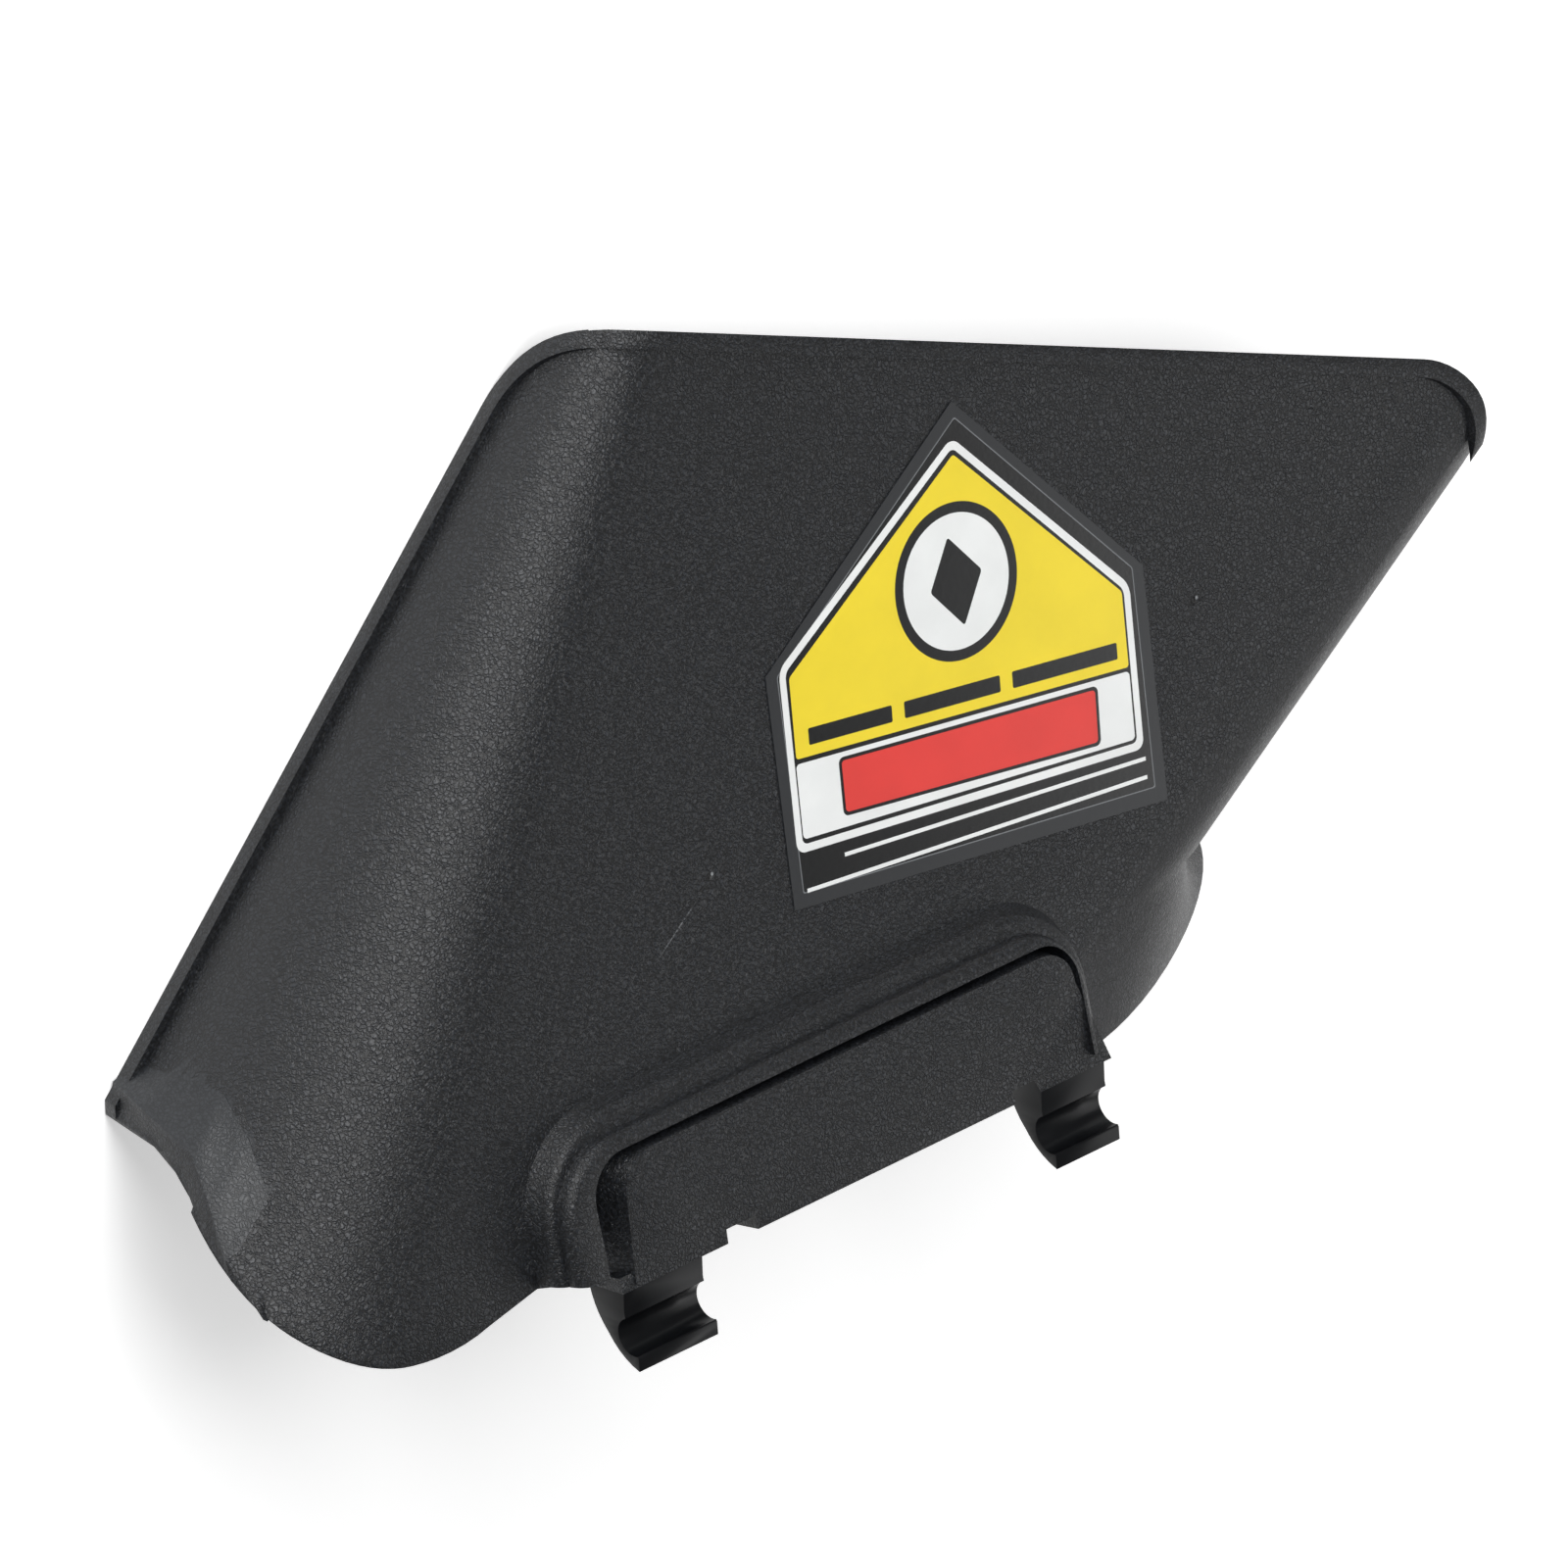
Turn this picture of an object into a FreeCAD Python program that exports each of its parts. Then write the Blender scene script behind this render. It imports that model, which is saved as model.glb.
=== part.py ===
import FreeCAD, Part
import math
import os

# Mower discharge deflector: one moulded hood with a thin label on its top panel. Millimetres, +Z up.
# It is drawn in the frame of its flat top panel: X along the hinge, Y out to the discharge, Z square to
# the panel, 0 on its outer face. At the end it is tipped so that its lower rim lies level.

# Main sizes of the hood
WALL = 3.0
LEFT_WALL_ANGLE = 48.3
LEFT_WALL_FOOT = (-49.6, 215.2)
RIGHT_WALL_ANGLE = 30.4
RIGHT_WALL_FOOT = (126.5, 29.8)
LEFT_BEND_OUTLET = 27.0
LEFT_BEND_INLET = 66.0
RIGHT_BEND = 28.0
BEND_INLET_REACH = 300.0

# Lower rim: its slope against the panel and its depth where the left wall starts
RIM_SLOPE = 0.284
RIM_DEPTH = 68.6
RIM_DEPTH_AT_Y = 72.0
RIM_WIDTH = 4.5
RIM_PROUD = 2.4
RIM_END_Z = -3.5

# Outlet edge: one straight line across the panel, leaning outwards a little as it goes down
OUTLET_POINT = (-33.0, 231.0)
OUTLET_ANGLE = -22.0
OUTLET_LEAN = 6.0
OUTLET_LEFT_CORNER = 30.0
OUTLET_RIGHT_CORNER = 29.0
RIGHT_EDGE_TOP = (222.0, 85.0, -28.0)
RIGHT_CORNER_POINT = (228.6, 94.4)
RIGHT_CORNER_ANGLE = 65.0
RIGHT_EDGE_FOOT = (129.0, 26.0, -82.0)

# Inlet edge
INLET_Y = 6.0
INLET_RIDGE_X = -110.0
INLET_RIDGE_Y = 10.8
INLET_LOBE = ((-128.0, 7.2), (-147.0, 5.6), (-164.0, 9.1), (-180.0, 15.6), (-192.0, 22.6), (-199.4, 31.0), (-200.8, 44.0))
INLET_SLANT_HIGH = (18.5, 20.7, -38.0)
INLET_SLANT_LOW = (8.6, 9.7, -52.0)
INLET_WALL_EDGE = ((-184.6, 56.2, -33.0), (-181.0, 66.1, -43.9), (-174.4, 76.4, -90.6))
INLET_RIGHT_X = 74.0
INLET_RIGHT_CREASE = ((74.0, 27.5), (97.0, 32.5), (122.0, 35.0))

# Flared mouth on the right, from the crease to its edge
FLARE_CREASE = ((74.0, 27.0, -1.5), (97.0, 32.0, -3.0), (121.0, 34.0, -12.0), (127.0, 29.0, -45.0), (126.0, 27.0, -82.0))
FLARE_LAP = 2.0
FLARE_EDGE = ((74.0, 2.0, -4.0), (102.0, 3.0, -15.0), (130.0, 7.0, -30.0), (155.0, 12.0, -50.0), (169.0, 16.0, -84.0))

# Turned-out lip of the left wall: where it leaves the wall, its crest and where it meets the inlet edge
LIP_ROOT = ((-167.2, 82.7, -65.0), (-167.4, 82.4, -50.0), (-167.6, 77.5, -34.0), (-169.6, 67.5, -25.5),
            (-172.5, 55.0, -18.5), (-184.0, 29.5, -13.5))
LIP_CREST = ((-175.3, 79.6, -65.8), (-179.2, 74.8, -50.0), (-180.4, 67.5, -34.5), (-184.0, 55.2, -26.8),
             (-186.6, 43.5, -21.5), (-185.6, 29.0, -12.8))
LIP_FOOT = ((-177.2, 71.9, -68.0), (-179.9, 68.0, -51.0), (-183.0, 60.0, -36.5), (-186.6, 49.0, -28.5),
            (-187.5, 38.5, -20.3), (-184.9, 28.2, -12.6))
LIP_SUNK = 2.0
LIP_EDGES_SUNK = 0.4

# Stepped ridge behind the hinge box
STEP_LOW_HEIGHT = 6.0
STEP_HIGH_HEIGHT = 9.5
STEP_LOW_X = (-111.5, 71.5)
STEP_LOW_Y = 50.0
STEP_HIGH_X = (-107.5, 68.0)
STEP_HIGH_Y = 43.5
STEP_LOW_CORNER = 26.0
STEP_HIGH_CORNER = 20.0
STEP_LOW_DRAFT = 2.6
STEP_HIGH_DRAFT = 1.6
STEP_ROUNDING = 3.0

# Groove between the ridge and the hinge box
GROOVE_LEFT = 4.5
GROOVE_BACK = 1.2
GROOVE_RIGHT = 1.0
GROOVE_FLOOR_Z = -4.6

# Hinge box
BOX_LEFT = -91.7
BOX_RIGHT_BACK = 63.0
BOX_RIGHT_FRONT = 70.5
BOX_BACK_Y = 37.0
BOX_FRONT_Y = 2.5
BOX_BACK_Z = 10.6
BOX_FRONT_Z = 7.4
BOX_UNDER_Z = -6.0
BOX_CORNER = 10.0
BOX_LEFT_DRAFT = 0.33
BOX_DRAFT = 0.05
NOTCH_STARTS = (-57.0, 38.5)
NOTCH_WIDTHS = (10.0, 8.5)
NOTCH_DEPTH = 3.8

# Hinge hooks: open on top, round the mower's own hinge rod
ROD_Y = -8.9
ROD_Z = 7.3
HOOK_RADIUS = 4.97
HOOK_LENGTHS = (26.0, 21.0)
HOOK_STARTS = (BOX_LEFT, 47.0)
HOOK_LAP = 4.0
HOOK_SUNK = 0.5
HOOK_TOP = ((-2.6, 6.2), (ROD_Y, 6.2), (-14.4, 8.2), (-17.8, 7.6))
HOOK_NOSE = (HOOK_TOP[-1], (-14.3, 2.7), (-8.6, -1.3))
HOOK_HEEL = (HOOK_NOSE[-1], (-4.3, -3.5), (3.5, -5.0))

# Label
LABEL_THICK = 0.25
LABEL_CORNERS = ((67.0, 175.0), (-6.0, 130.2), (-11.2, 71.2), (109.0, 54.9), (115.5, 114.0))

ABOVE_ALL = 40.0
BELOW_ALL = 130.0
BIG = 400.0
V = FreeCAD.Vector


def polygon(points):
    """A flat face through the given 3D points."""
    ring = [V(*p) for p in points]
    return Part.Face(Part.makePolygon(ring + [ring[0]]))


def unit(angle):
    return V(math.cos(math.radians(angle)), math.sin(math.radians(angle)), 0)


def half_space(point, outward):
    """A big block behind the plane at point, away from outward."""
    block = Part.makeBox(BIG * 4, BIG * 4, BIG * 4, V(-BIG * 2, -BIG * 2, -BIG * 4))
    turn = FreeCAD.Rotation(V(0, 0, 1), outward)
    block.Placement = FreeCAD.Placement(point, turn)
    return block


def edge_along(shape, direction, test=lambda e: True):
    """The straight edges of shape that run along direction and pass the test."""
    found = []
    for edge in shape.Edges:
        if edge.Curve.TypeId != "Part::GeomLine":
            continue
        run = edge.Vertexes[-1].Point - edge.Vertexes[0].Point
        if run.Length > 1 and run.cross(direction).Length / run.Length < 1e-4 and test(edge):
            found.append(edge)
    return found


def hood_block(inset):
    """The filled form of panel, walls and bends, its faces moved inwards by inset."""
    left = unit(LEFT_WALL_ANGLE)
    right = unit(RIGHT_WALL_ANGLE)
    left_out = V(-left.y, left.x, 0)
    right_out = V(right.y, -right.x, 0)
    left_foot = V(*LEFT_WALL_FOOT, 0) - left_out * inset
    right_foot = V(*RIGHT_WALL_FOOT, 0) - right_out * inset
    a = left_foot + left * 80
    b = left_foot - left * BEND_INLET_REACH
    c = right_foot - right * 90
    d = right_foot + right * 240
    plan = polygon([(p.x, p.y, -inset) for p in (a, b, c, d)])
    block = plan.extrude(V(0, 0, -BELOW_ALL))

    def on_top(edge):
        return abs(edge.CenterOfMass.z + inset) < 0.01

    left_edge = edge_along(block, left, on_top)[0]
    start = left_edge.Vertexes[0].Point
    outlet_first = (start - a).Length < (start - b).Length
    grow = (LEFT_BEND_INLET - LEFT_BEND_OUTLET) / (BEND_INLET_REACH - 20.0)
    near = LEFT_BEND_OUTLET - grow * 80 - inset
    far = LEFT_BEND_OUTLET + grow * BEND_INLET_REACH - inset
    radii = (near, far) if outlet_first else (far, near)
    block = block.makeFillet(radii[0], radii[1], [left_edge])
    right_edge = edge_along(block, right, on_top)[0]
    return block.makeFillet(RIGHT_BEND - inset, [right_edge])


def outlet_plane(inset):
    along = unit(OUTLET_ANGLE)
    out = V(-along.y, along.x, 0)
    lean = math.radians(OUTLET_LEAN)
    normal = out * math.cos(lean) - V(0, 0, 1) * math.sin(lean)
    return V(*OUTLET_POINT, 0) - normal * inset, normal


def rim_plane(inset):
    normal = V(0, RIM_SLOPE, -1).normalize()
    point = V(0, RIM_DEPTH_AT_Y, -RIM_DEPTH)
    return point - normal * inset, normal


def right_corner_plane(inset):
    along = unit(RIGHT_CORNER_ANGLE)
    normal = V(along.y, -along.x, 0)
    return V(*RIGHT_CORNER_POINT, 0) - normal * inset, normal


def right_plane(inset):
    """The plane of the right wall's lower edge, square to that wall."""
    run = V(*RIGHT_EDGE_TOP) - V(*RIGHT_EDGE_FOOT)
    wall_out = V(unit(RIGHT_WALL_ANGLE).y, -unit(RIGHT_WALL_ANGLE).x, 0)
    normal = wall_out.cross(run).normalize()
    if normal.z > 0:
        normal = normal * -1
    return V(*RIGHT_EDGE_TOP) - normal * inset, normal


def corner_space(first, second, radius):
    """What lies behind two planes, with their meeting edge rounded."""
    space = half_space(*first).common(half_space(*second))
    along = first[1].cross(second[1]).normalize()

    def meets(edge):
        p = edge.CenterOfMass
        on_first = abs((p - first[0]).dot(first[1])) < 0.01
        return on_first and abs((p - second[0]).dot(second[1])) < 0.01

    return space.makeFillet(radius, edge_along(space, along, meets))


def rim_space(inset):
    """What the lower rim and the outlet edge leave, both moved inwards by inset."""
    left = corner_space(outlet_plane(inset), rim_plane(inset), OUTLET_LEFT_CORNER - inset)
    right = corner_space(outlet_plane(inset), right_corner_plane(inset), OUTLET_RIGHT_CORNER - inset)
    return left.common(right).common(half_space(*right_plane(inset)))


def rim_reach():
    """The raised rim follows the left wall and the outlet edge, and ends in the bend of the right wall."""
    left = half_space(V(*OUTLET_POINT, 0), V(1, 0, 0))
    return left.fuse(half_space(V(0, 0, RIM_END_Z), V(0, 0, -1)))


def left_inlet_space():
    """What the inlet edge leaves of the left side: a curve in plan that slants back as it goes down."""
    corner = BELOW_ALL * 2.5
    lobe = [V(x, y, 0) for x, y in INLET_LOBE]
    curve = Part.BSplineCurve()
    curve.interpolate(lobe)
    ring = [lobe[-1], V(lobe[-1].x, corner, 0), V(0, corner, 0), V(0, INLET_Y, 0), V(BOX_LEFT, INLET_Y, 0)]
    ring += [V(INLET_RIDGE_X, INLET_RIDGE_Y, 0), lobe[0]]
    sides = [Part.LineSegment(p, q).toShape() for p, q in zip(ring, ring[1:])]
    face = Part.Face(Part.Wire(sides + [curve.toShape()]))
    high = V(*INLET_SLANT_HIGH)
    space = face.extrude(V(0, 0, ABOVE_ALL)).fuse(face.extrude(high))
    face.translate(high)
    return space.fuse(face.extrude(V(*INLET_SLANT_LOW)))


def left_wall_trims():
    """What the inlet edge takes off the low end of the left wall, square through that wall."""
    along = unit(LEFT_WALL_ANGLE)
    edge = [V(*p) for p in INLET_WALL_EDGE]
    trims = []
    for high, low in zip(edge, edge[1:]):
        normal = (low - high).cross(V(-along.y, along.x, 0)).normalize()
        if normal.dot(along) < 0:
            normal = normal * -1
        layer = half_space(high, V(0, 0, 1)).common(half_space(low, V(0, 0, -1)))
        trims.append(half_space(high, normal).common(layer))
    return trims


def right_inlet_space():
    """What lies on the outlet side of the crease where the flared mouth starts."""
    corner = BELOW_ALL * 2.5
    crease = [(x, y, -BELOW_ALL) for x, y in INLET_RIGHT_CREASE]
    ring = [(0, corner, -BELOW_ALL), (corner, corner, -BELOW_ALL), (corner, crease[-1][1], -BELOW_ALL)] + crease[::-1]
    ring += [(INLET_RIGHT_X, INLET_Y, -BELOW_ALL), (0, INLET_Y, -BELOW_ALL)]
    return polygon(ring).extrude(V(0, 0, BELOW_ALL + ABOVE_ALL))


def rounded_plan(x0, x1, y0, y1, corner, z):
    """A plan outline, straight in front, its two back corners rounded."""
    k = 1 - math.sqrt(0.5)
    left_mid = V(x0 + corner * k, y1 - corner * k, z)
    right_mid = V(x1 - corner * k, y1 - corner * k, z)
    edges = [
        Part.LineSegment(V(x0, y0, z), V(x0, y1 - corner, z)).toShape(),
        Part.Arc(V(x0, y1 - corner, z), left_mid, V(x0 + corner, y1, z)).toShape(),
        Part.LineSegment(V(x0 + corner, y1, z), V(x1 - corner, y1, z)).toShape(),
        Part.Arc(V(x1 - corner, y1, z), right_mid, V(x1, y1 - corner, z)).toShape(),
        Part.LineSegment(V(x1, y1 - corner, z), V(x1, y0, z)).toShape(),
        Part.LineSegment(V(x1, y0, z), V(x0, y0, z)).toShape(),
    ]
    return Part.Wire(edges)


def step_block(xs, y, height, corner, draft, inset):
    """One drafted step of the ridge, as a filled block from below the panel up to its height."""
    front = INLET_Y - 12
    low = rounded_plan(xs[0] + inset, xs[1] - inset, front, y - inset, corner - inset, -10)
    seat = rounded_plan(xs[0] + inset, xs[1] - inset, front, y - inset, corner - inset, 0)
    top = rounded_plan(xs[0] + inset + draft, xs[1] - inset - draft, front, y - inset - draft,
                       corner - inset - draft * 0.5, height - inset)
    step = Part.makeLoft([seat, top], True, True)
    if inset < STEP_ROUNDING:
        crest = [e for e in step.Edges if e.BoundBox.ZMin > height - inset - 0.01 and e.BoundBox.YMax > front + 1]
        step = step.makeFillet(STEP_ROUNDING - inset, crest)
    return Part.makeLoft([low, seat], True, True).fuse(step)


def box_block(inset):
    """The hinge box as a filled block: drafted sides, the right one flared to the front, and a top
    that falls towards the hinge."""
    back = BOX_BACK_Y - inset
    front = BOX_FRONT_Y + inset

    def plan(z):
        rise = z - BOX_UNDER_Z
        x0 = BOX_LEFT + inset + rise * BOX_LEFT_DRAFT
        x1 = BOX_RIGHT_BACK - inset - rise * BOX_DRAFT
        return rounded_plan(x0, x1, front, back - rise * BOX_DRAFT, BOX_CORNER - inset, z)

    low = BOX_UNDER_Z - inset
    block = Part.makeLoft([plan(low), plan(BOX_BACK_Z * 2)], True, True)
    flare = polygon([
        (BOX_RIGHT_BACK - inset - 3, back - BOX_CORNER, low),
        (BOX_RIGHT_BACK - inset - 1, back - BOX_CORNER, low),
        (BOX_RIGHT_FRONT - inset, front, low),
        (BOX_RIGHT_BACK - inset - 3, front, low),
    ]).extrude(V(0, 0, ABOVE_ALL))
    slope = math.atan2(BOX_BACK_Z - BOX_FRONT_Z, BOX_BACK_Y - BOX_FRONT_Y)
    normal = V(0, -math.sin(slope), math.cos(slope))
    below_top = half_space(V(0, BOX_FRONT_Y, BOX_FRONT_Z) - normal * inset, normal)
    return block.fuse(flare).removeSplitter().common(below_top)


def notches():
    """The two small notches in the box's front edge, one beside each hook."""
    cuts = []
    for x0, width in zip(NOTCH_STARTS, NOTCH_WIDTHS):
        corner = V(x0, BOX_FRONT_Y - NOTCH_DEPTH, -ABOVE_ALL / 2)
        cuts.append(Part.makeBox(width, NOTCH_DEPTH * 2, ABOVE_ALL, corner))
    return cuts


def groove_block(inset):
    """The space between ridge and hinge box, its faces moved outwards by inset."""
    x0 = BOX_LEFT - GROOVE_LEFT - inset
    x1 = BOX_RIGHT_BACK + GROOVE_RIGHT + inset
    back = BOX_BACK_Y + GROOVE_BACK + inset
    plan = rounded_plan(x0, x1, INLET_Y - 20, back, BOX_CORNER + GROOVE_BACK + inset, GROOVE_FLOOR_Z - inset)
    return Part.Face(plan).extrude(V(0, 0, ABOVE_ALL))


def filled_form(inset):
    """Hood, ridge and hinge box as one filled form, its faces moved inwards by inset."""
    form = hood_block(inset)
    form = form.fuse(step_block(STEP_LOW_X, STEP_LOW_Y, STEP_LOW_HEIGHT, STEP_LOW_CORNER, STEP_LOW_DRAFT, inset))
    form = form.fuse(step_block(STEP_HIGH_X, STEP_HIGH_Y, STEP_HIGH_HEIGHT, STEP_HIGH_CORNER, STEP_HIGH_DRAFT, inset))
    return form.cut(groove_block(inset)).fuse(box_block(inset))


def right_flare():
    """The flared mouth of the right wall, lofted from its crease out to the inlet edge."""
    crease = [V(*p) for p in FLARE_CREASE]
    edge = [V(*p) for p in FLARE_EDGE]
    sections = []
    for i, (root, tip) in enumerate(zip(crease, edge)):
        along = crease[min(i + 1, len(crease) - 1)] - crease[max(i - 1, 0)]
        out = (tip - root).normalize()
        inward = along.cross(out).normalize() * WALL
        if inward.z > 0:
            inward = inward * -1
        start = root - out * FLARE_LAP
        sections.append(Part.makePolygon([start, tip, tip + inward, start + inward, start]))
    return Part.makeLoft(sections, True, False)


def left_lip():
    """The lip turned out along the left wall's inlet edge, lofted over the wall and fading round the lobe."""
    sections = []
    for root, crest, foot in zip(LIP_ROOT, LIP_CREST, LIP_FOOT):
        root, crest, foot = V(*root), V(*crest), V(*foot)
        middle = (root + foot) * 0.5
        down = (middle - crest).normalize()
        root, foot = root + down * LIP_EDGES_SUNK, foot + down * LIP_EDGES_SUNK
        sections.append(Part.makePolygon([root, crest, foot, middle + down * LIP_SUNK, root]))
    return Part.makeLoft(sections, True, True)


def hook(x0, length):
    """One hinge hook: an open groove for the rod, its outer side round, its lip turned up in front."""
    axis = V(x0, ROD_Y, ROD_Z)

    def at(y, z):
        return V(x0, y, z)

    inside = BOX_FRONT_Y + HOOK_LAP
    top = [(inside, BOX_FRONT_Z - HOOK_SUNK), (BOX_FRONT_Y, BOX_FRONT_Z)] + list(HOOK_TOP)
    under = [HOOK_HEEL[-1], (inside, HOOK_HEEL[-1][1]), top[0]]
    edges = [Part.LineSegment(at(*p), at(*q)).toShape() for p, q in zip(top, top[1:])]
    edges += [Part.Arc(*[at(*p) for p in arc]).toShape() for arc in (HOOK_NOSE, HOOK_HEEL)]
    edges += [Part.LineSegment(at(*p), at(*q)).toShape() for p, q in zip(under, under[1:])]
    outline = Part.Wire(edges)
    body = Part.Face(outline).extrude(V(length, 0, 0))
    groove = Part.makeCylinder(HOOK_RADIUS, length + 2, axis - V(1, 0, 0), V(1, 0, 0))
    return body.cut(groove)


def label():
    """The label, a thin pentagon lying on the panel."""
    return polygon([(x, y, 0) for x, y in LABEL_CORNERS]).extrude(V(0, 0, LABEL_THICK))


def to_rest(shape):
    """Puts the middle of the rod's axis at the origin and turns the lower rim level."""
    mid = V((HOOK_STARTS[0] + HOOK_STARTS[1] + HOOK_LENGTHS[1]) / 2, ROD_Y, ROD_Z)
    moved = shape.copy()
    moved.translate(mid * -1)
    moved.rotate(V(0, 0, 0), V(1, 0, 0), -math.degrees(math.atan(RIM_SLOPE)))
    return moved


def main():
    os.makedirs("parts", exist_ok=True)
    outer = filled_form(0)
    inner = filled_form(WALL)
    space = rim_space(0)
    inlet = left_inlet_space().cut(left_wall_trims()).fuse(right_inlet_space())
    shell = outer.cut(inner).common(space).common(inlet)
    proud = hood_block(-RIM_PROUD).cut(hood_block(WALL * 0.5))
    bead = proud.common(space.cut(rim_space(RIM_WIDTH))).common(inlet).common(rim_reach())
    hood = shell.fuse(bead).fuse(box_block(0).cut(box_block(WALL)))
    hood = hood.fuse(right_flare().common(half_space(*rim_plane(0))))
    hood = hood.fuse(left_lip())
    for x0, length in zip(HOOK_STARTS, HOOK_LENGTHS):
        hood = hood.fuse(hook(x0, length))
    for notch in notches():
        hood = hood.cut(notch)
    hood = hood.removeSplitter()
    to_rest(hood).exportStep("parts/deflector_hood.step")
    to_rest(label()).exportStep("parts/face_label.step")


main()
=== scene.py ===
import math

import bmesh
import bpy
from bpy.props import FloatProperty, FloatVectorProperty, PointerProperty, StringProperty
from mathutils import Matrix, Vector
from mathutils.geometry import closest_point_on_tri


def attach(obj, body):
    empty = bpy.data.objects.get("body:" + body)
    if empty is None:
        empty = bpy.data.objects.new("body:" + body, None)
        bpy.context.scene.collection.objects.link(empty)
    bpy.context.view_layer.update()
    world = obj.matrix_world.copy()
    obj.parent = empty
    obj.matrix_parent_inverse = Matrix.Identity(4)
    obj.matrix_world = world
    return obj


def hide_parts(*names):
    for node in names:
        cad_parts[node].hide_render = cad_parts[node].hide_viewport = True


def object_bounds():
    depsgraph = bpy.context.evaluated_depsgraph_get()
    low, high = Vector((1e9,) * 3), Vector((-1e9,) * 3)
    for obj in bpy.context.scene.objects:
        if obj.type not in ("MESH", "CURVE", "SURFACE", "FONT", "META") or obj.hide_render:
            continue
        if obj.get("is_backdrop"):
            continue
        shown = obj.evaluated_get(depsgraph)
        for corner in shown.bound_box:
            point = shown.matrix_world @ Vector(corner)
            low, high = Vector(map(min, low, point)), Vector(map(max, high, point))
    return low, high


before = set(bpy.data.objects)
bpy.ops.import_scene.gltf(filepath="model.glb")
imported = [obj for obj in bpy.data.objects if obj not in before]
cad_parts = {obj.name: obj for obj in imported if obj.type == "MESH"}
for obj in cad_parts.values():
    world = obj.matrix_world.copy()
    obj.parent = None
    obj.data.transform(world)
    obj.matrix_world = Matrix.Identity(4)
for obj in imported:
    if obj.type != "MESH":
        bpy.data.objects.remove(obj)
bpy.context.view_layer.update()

bl_info = {
    "name": "Mower discharge deflector",
    "version": (1, 0, 0),
    "blender": (4, 5, 0),
    "location": "View3D > Sidebar > Deflector",
    "description": "Dresses the moulded discharge deflector and sets up its studio",
    "category": "Object",
}

MM = 0.001

# The top panel slopes down and outwards from the hinge rod. The rod's middle, in the panel's
# own frame: X along the hinge, Y out over the panel, Z off the panel's face.
PANEL_SLOPE = math.atan(0.284)
ROD_IN_PANEL = Vector((-11.85, -8.9, 7.3)) * MM
PANEL_TO_FRAME = Matrix.Rotation(-PANEL_SLOPE, 4, "X") @ Matrix.Translation(-ROD_IN_PANEL)

# Refractive indices, and the angles from which an edge is rounded and shaded as an edge.
POLYPROPYLENE_IOR = 1.49
VINYL_IOR = 1.52
ROUNDED_FROM = math.radians(38)
SHARP_FROM = math.radians(40)
MERGE_WITHIN = 0.01 * MM

# Places on the panel, in its frame and in mm: the hinge box's long back edge, the two gate marks
# with the torn fleck beside each, and the scratch's two ends. The scratch fades out over its half
# width.
BOX_BACK_EDGE = (0.0, 37.0, 10.6)
GATE_MARKS = ((129.0, 99.5, 0.0), (-35.0, 89.0, 0.0))
GATE_FLECK = Vector((1.2, 0.4, 0.0))
SCRATCH = ((-37.4, 86.5, 0.0), (-57.6, 73.6, 0.0))
SCRATCH_HALF_WIDTH = 0.3
SCRATCH_PALENESS = 0.45
PIT_DEPTH = 2.0

# The hooks are all of the hood that reaches this far over the panel. The turned-out lip's face
# runs between its root on the left wall and its crest, and its grain is shallower.
HOOKS_REACH = 2.4 * MM
LIP_ROOT = (
    (-167.2, 82.7, -65.0), (-167.4, 82.4, -50.0), (-167.6, 77.5, -34.0), (-169.6, 67.5, -25.5),
    (-172.5, 55.0, -18.5),
)
LIP_CREST = (
    (-175.3, 79.6, -65.8), (-179.2, 74.8, -50.0), (-180.4, 67.5, -34.5), (-184.0, 55.2, -26.8),
    (-186.6, 43.5, -21.5),
)
LIP_REACH = 0.8 * MM
LIP_GRAIN = 0.4

# The label's sheet is this thick in the CAD, and each printed ink lies this far above the last.
# An ink's plate starts inside the sheet.
SHEET_TOP = 0.25 * MM
INK_START = SHEET_TOP / 2
INK_STEP = 0.02 * MM
FILM_ROUGHNESS = 0.36
BLACK_ROUGHNESS = 0.24
COLOUR_ROUGHNESS = 0.34

# The label's printed shapes on the panel, in mm.
LABEL_OUTLINE = ((66.9, 171.0), (-2.6, 129.0), (-7.6, 74.2), (106.0, 59.2), (112.2, 114.6))
FINE_LINE_WIDTH = 0.3
FRAME_LINE = ((64.8, 166.4), (-1.7, 130.3), (-7.0, 84.3), (104.8, 69.9), (110.2, 111.0))
FRAME_WIDTH = 2.0
UPPER_FIELD = ((64.2, 162.2), (1.0, 127.4), (-1.7, 107.1), (105.0, 91.2), (107.4, 110.1))
LOWER_FIELD = ((-2.1, 105.9), (-4.3, 87.2), (102.6, 73.1), (104.9, 90.2))
RING_MIDDLE = (57.5, 131.5)
RING_RADIUS = 19.7
DISC_RADIUS = 17.0
DIAMOND_ARMS = ((0.0, 11.5), (-8.5, 0.0), (0.0, -11.5), (8.5, 0.0))
ROW = ((3.4, 111.2), (102.4, 96.4))
ROW_BARS = ((0.0, 0.27), (0.31, 0.62), (0.66, 1.0))
ROW_HALF_HEIGHT = 2.1
WIDE_BAR = ((11.1, 102.7), (9.3, 88.1), (91.9, 75.7), (94.3, 90.4))
WIDE_BAR_EDGE = 0.9
FOOT_LINES = (((7.3, 78.9), (104.7, 67.3)), ((-6.2, 74.5), (104.1, 62.7)))
FOOT_HALF_HEIGHT = 0.5

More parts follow.
